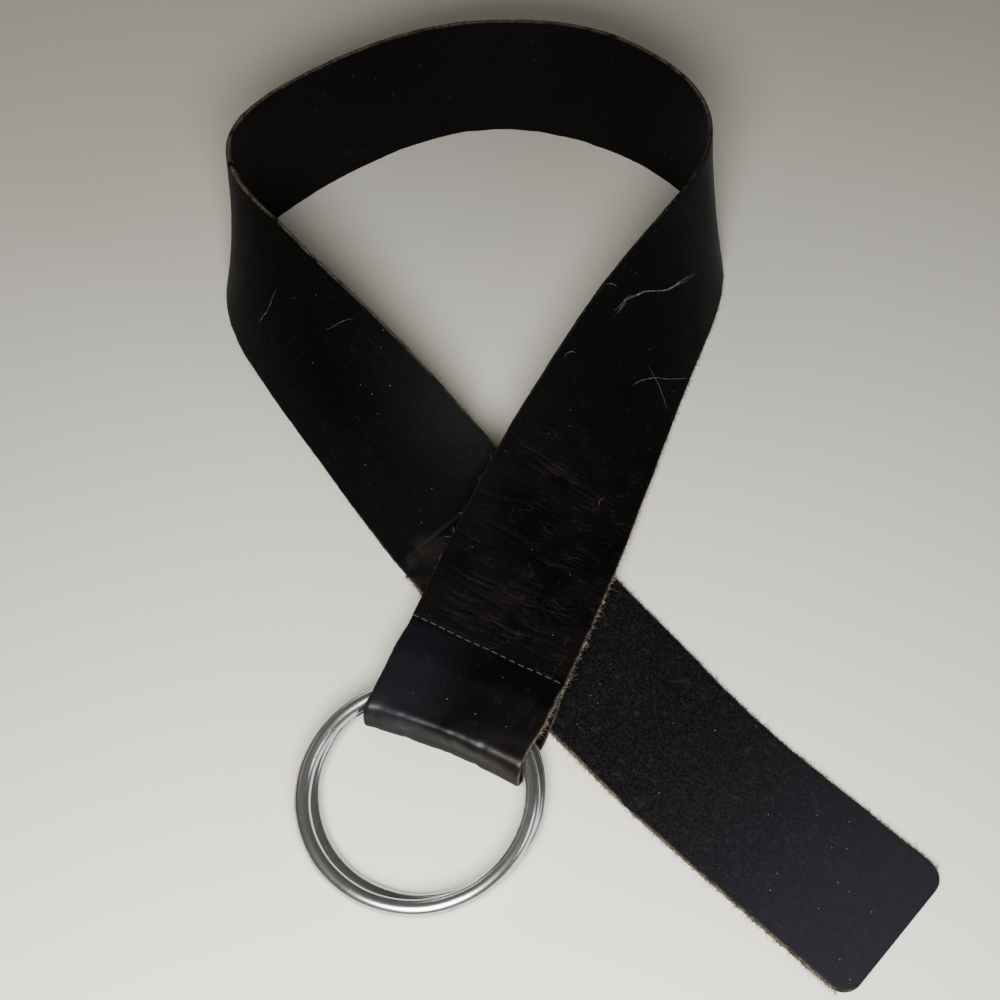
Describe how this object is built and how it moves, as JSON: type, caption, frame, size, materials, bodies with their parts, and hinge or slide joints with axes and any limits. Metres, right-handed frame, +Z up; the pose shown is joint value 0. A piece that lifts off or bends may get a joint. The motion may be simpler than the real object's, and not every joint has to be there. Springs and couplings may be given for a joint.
{
  "type": "leather belt with loose rings",
  "caption": "Worn leather strap belt laid in a loop, its end folded and stitched round two loose metal rings that the free end is drawn through.",
  "frame": {"origin": "middle of the base of the whole belt as it lies, on the surface that it lies on", "axes": "+Z up, +Y from the rings and the free end towards the back of the waist loop, +X to the right when seen from the rings"},
  "size_m": [0.22, 0.3414, 0.05],
  "materials": {
    "strap_leather": "black dyed, worn, semi-gloss outer face and napped tail",
    "ring_metal": "nickel plated, dulled and lightly scratched"
  },
  "bodies": {
    "strap": {"strap": "strap_leather"},
    "ring_lower": {"ring_lower": "ring_metal"},
    "ring_upper": {"ring_upper": "ring_metal"}
  },
  "joints": [
    {"name": "ring_lower_turn", "type": "hinge", "parent": "strap", "child": "ring_lower", "pos_m": [-0.03146, -0.11575, 0.00497], "axis": [-0.0313, -0.0737, 0.9968], "continuous": true},
    {"name": "ring_upper_turn", "type": "hinge", "parent": "strap", "child": "ring_upper", "pos_m": [-0.03346, -0.11892, 0.00979], "axis": [-0.0313, -0.0737, 0.9968], "continuous": true}
  ]
}
